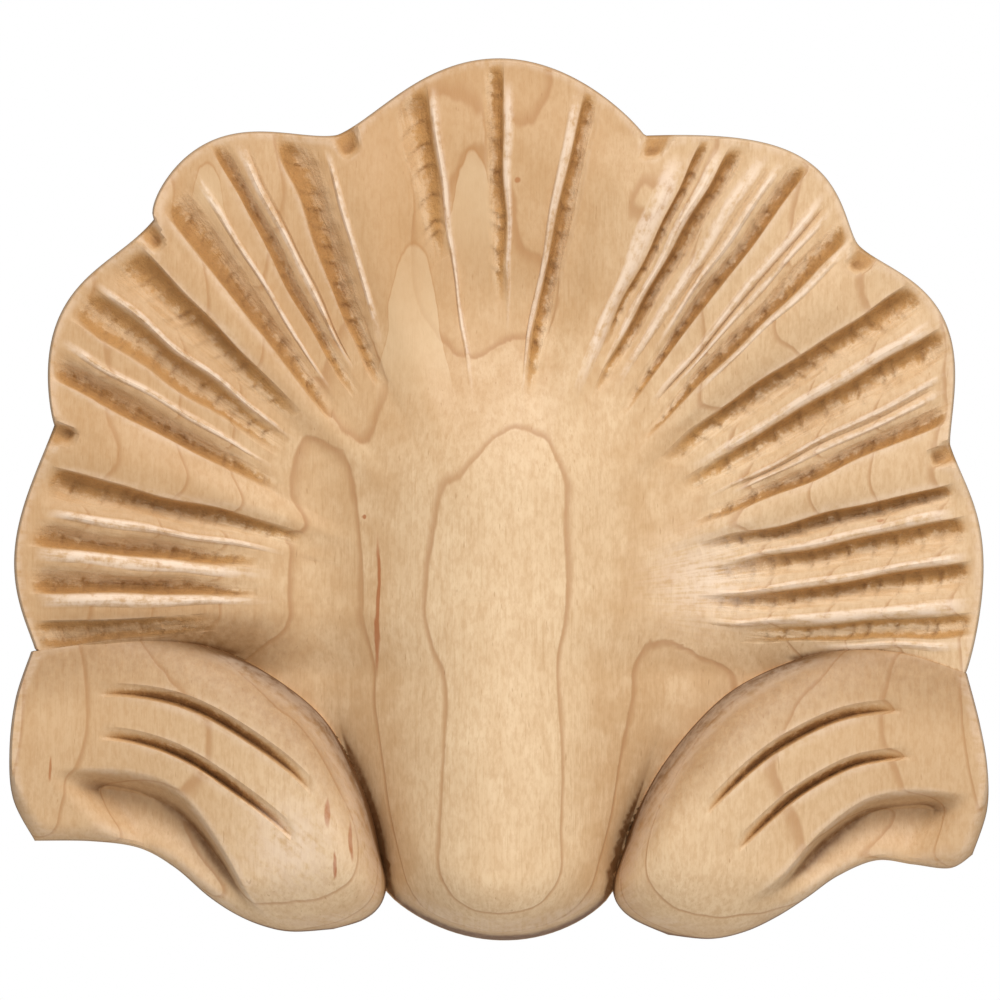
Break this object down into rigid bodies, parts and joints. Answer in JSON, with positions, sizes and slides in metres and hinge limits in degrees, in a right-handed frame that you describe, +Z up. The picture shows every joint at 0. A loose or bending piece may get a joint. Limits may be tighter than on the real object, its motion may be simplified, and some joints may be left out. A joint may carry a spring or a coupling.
{
  "type": "carved shell ornament",
  "caption": "Carved wooden shell onlay with a scalloped edge, gouged fan channels, a smooth dome ending in a tongue and a scroll at each side; flat back for gluing to furniture or a wall.",
  "frame": {"origin": "centre of the flat back face, in the plane that meets the surface it is fixed to", "axes": "+X to the right as seen from the front, +Z up towards the middle lobe, +Y out of the flat back, so the carving faces -Y"},
  "size_m": [0.1401, 0.0215, 0.1263],
  "materials": {
    "wood": "smooth sanded, unvarnished, rough inside the gouge channels"
  },
  "bodies": {
    "root": {"shell_ornament": "wood"}
  },
  "joints": []
}
